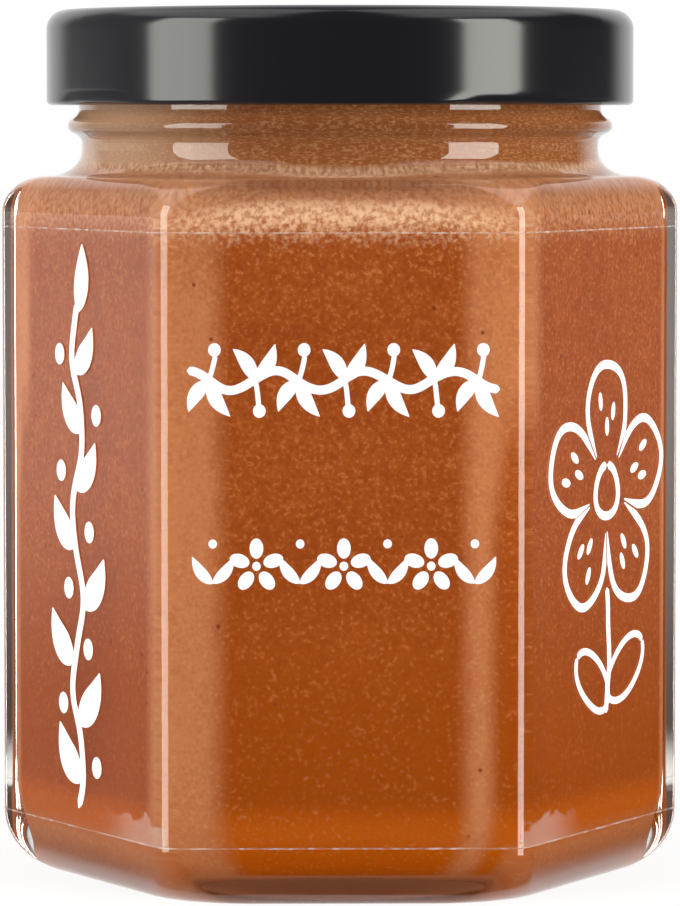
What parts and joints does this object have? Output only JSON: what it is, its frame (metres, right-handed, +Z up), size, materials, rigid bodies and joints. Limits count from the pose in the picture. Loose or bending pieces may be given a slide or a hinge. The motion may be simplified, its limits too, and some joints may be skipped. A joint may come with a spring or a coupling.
{
  "type": "honey jar",
  "caption": "Hexagonal glass twist-off jar filled with creamed honey, with a black metal lid and a clear wrap-round label.",
  "frame": {"origin": "centre of the ring the jar stands on, midway between all flats", "axes": "+Z up along the neck, -Y out of the front flat, +X through a corner of the hexagon"},
  "size_m": [0.0704, 0.062, 0.0892],
  "materials": {
    "glass": "clear, polished",
    "honey": "creamed honey, opaque, finely grained",
    "lid": "black gloss lacquer on tinplate",
    "film": "clear gloss film with white print"
  },
  "bodies": {
    "root": {"jar": "glass", "honey": "honey", "lid": "lid", "label": "film"}
  },
  "joints": []
}
